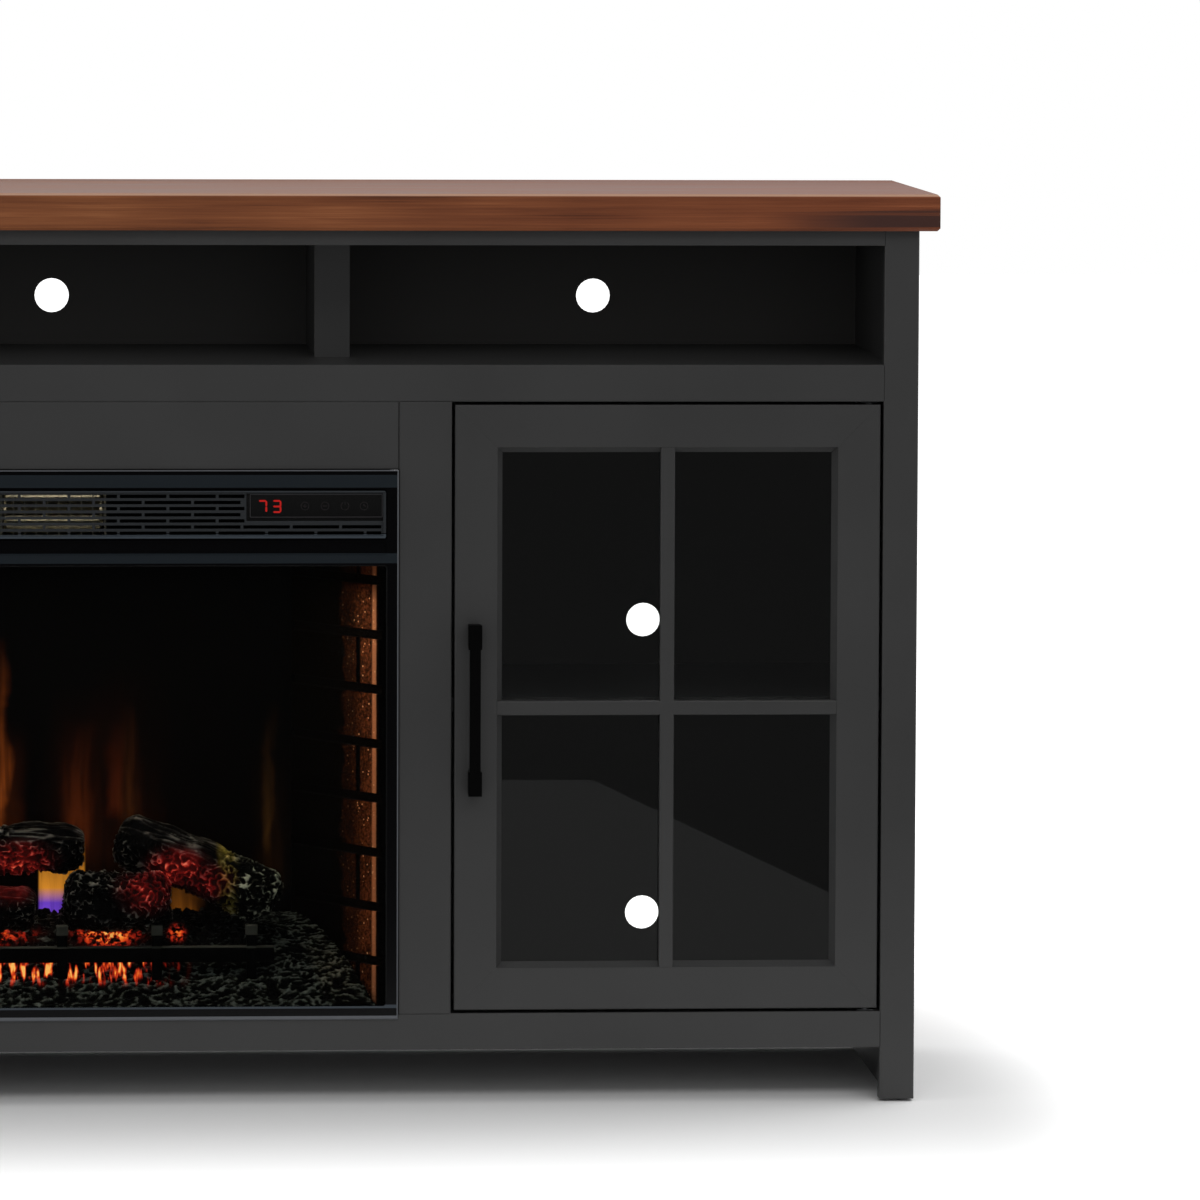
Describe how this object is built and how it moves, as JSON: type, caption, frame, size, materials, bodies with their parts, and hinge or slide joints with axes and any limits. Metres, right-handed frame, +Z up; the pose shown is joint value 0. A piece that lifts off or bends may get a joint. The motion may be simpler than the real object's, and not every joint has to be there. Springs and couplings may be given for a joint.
{
  "type": "fireplace tv stand",
  "caption": "Console with open cubbies, glazed doors on pivots, adjustable shelves and an electric fireplace insert with a slotted outlet grille.",
  "frame": {"origin": "on the floor, under the middle of the whole object", "axes": "+X to the right seen from the front, +Y to the back, +Z up; the front faces -Y"},
  "size_m": [1.88, 0.48, 0.973],
  "materials": {
    "top_wood": "satin reddish brown grain",
    "paint": "satin dark grey paint",
    "hardboard": "matt painted hardboard",
    "glide": "moulded",
    "door_glass": "clear",
    "handle_metal": "satin black",
    "pivot_steel": "zinc plated",
    "trim_plastic": "satin black",
    "fire_glass": "smoked",
    "display": "gloss black",
    "housing_sheet": "satin black",
    "heater_metal": "plain",
    "mirror_strip": "bright",
    "brick_cast": "cast and painted as brick",
    "ash_cast": "cast and painted as ash and embers",
    "log_cast": "cast and painted as charred wood"
  },
  "bodies": {
    "cabinet": {"top_board": "top_wood", "sub_top": "paint", "cubby_shelf": "paint", "mid_rail": "paint", "fascia_panel": "paint", "bottom_panel": "paint", "bottom_rail": "paint", "rear_rail": "paint", "back_panel_upper": "hardboard", "right_side_panel": "paint", "left_side_panel": "paint", "right_front_stile": "paint", "left_front_stile": "paint", "right_post": "paint", "left_post": "paint", "right_partition": "paint", "left_partition": "paint", "right_cubby_divider": "paint", "left_cubby_divider": "paint", "right_shelf": "paint", "left_shelf": "paint", "right_back_panel": "hardboard", "left_back_panel": "hardboard", "right_front_glide": "glide", "left_front_glide": "glide", "right_rear_glide": "glide", "left_rear_glide": "glide", "right_upper_pivot": "pivot_steel", "left_upper_pivot": "pivot_steel", "right_lower_pivot": "pivot_steel", "left_lower_pivot": "pivot_steel", "insert_trim": "trim_plastic", "insert_glass": "fire_glass", "louvre_grille": "trim_plastic", "display_module": "display", "insert_housing": "housing_sheet", "blower_duct": "heater_metal", "flame_screen": "fire_glass", "right_brick_panel": "brick_cast", "left_brick_panel": "brick_cast", "ember_bed": "ash_cast", "log_right": "log_cast", "log_front": "log_cast", "log_left": "log_cast"},
    "right_door": {"right_door_hinge_stile": "paint", "right_door_lock_stile": "paint", "right_door_top_rail": "paint", "right_door_bottom_rail": "paint", "right_door_muntin_grille": "paint", "right_door_glass": "door_glass", "right_door_handle": "handle_metal"},
    "left_door": {"left_door_hinge_stile": "paint", "left_door_lock_stile": "paint", "left_door_top_rail": "paint", "left_door_bottom_rail": "paint", "left_door_muntin_grille": "paint", "left_door_glass": "door_glass", "left_door_handle": "handle_metal"},
    "blower": {"blower_wheel": "housing_sheet"},
    "flicker": {"flicker_rod": "mirror_strip"}
  },
  "joints": [
    {"name": "right_door_swing", "type": "hinge", "parent": "cabinet", "child": "right_door", "pos_m": [0.8675, -0.2015, 0.42488], "axis": [0, 0, 1], "range_deg": [0, 110]},
    {"name": "left_door_swing", "type": "hinge", "parent": "cabinet", "child": "left_door", "pos_m": [-0.8675, -0.2015, 0.42488], "axis": [0, 0, -1], "range_deg": [0, 110]},
    {"name": "blower_spin", "type": "hinge", "parent": "cabinet", "child": "blower", "pos_m": [0, -0.135, 0.63213], "axis": [1, 0, 0], "continuous": true},
    {"name": "flicker_spin", "type": "hinge", "parent": "cabinet", "child": "flicker", "pos_m": [0, -0.02, 0.15175], "axis": [1, 0, 0], "continuous": true}
  ]
}
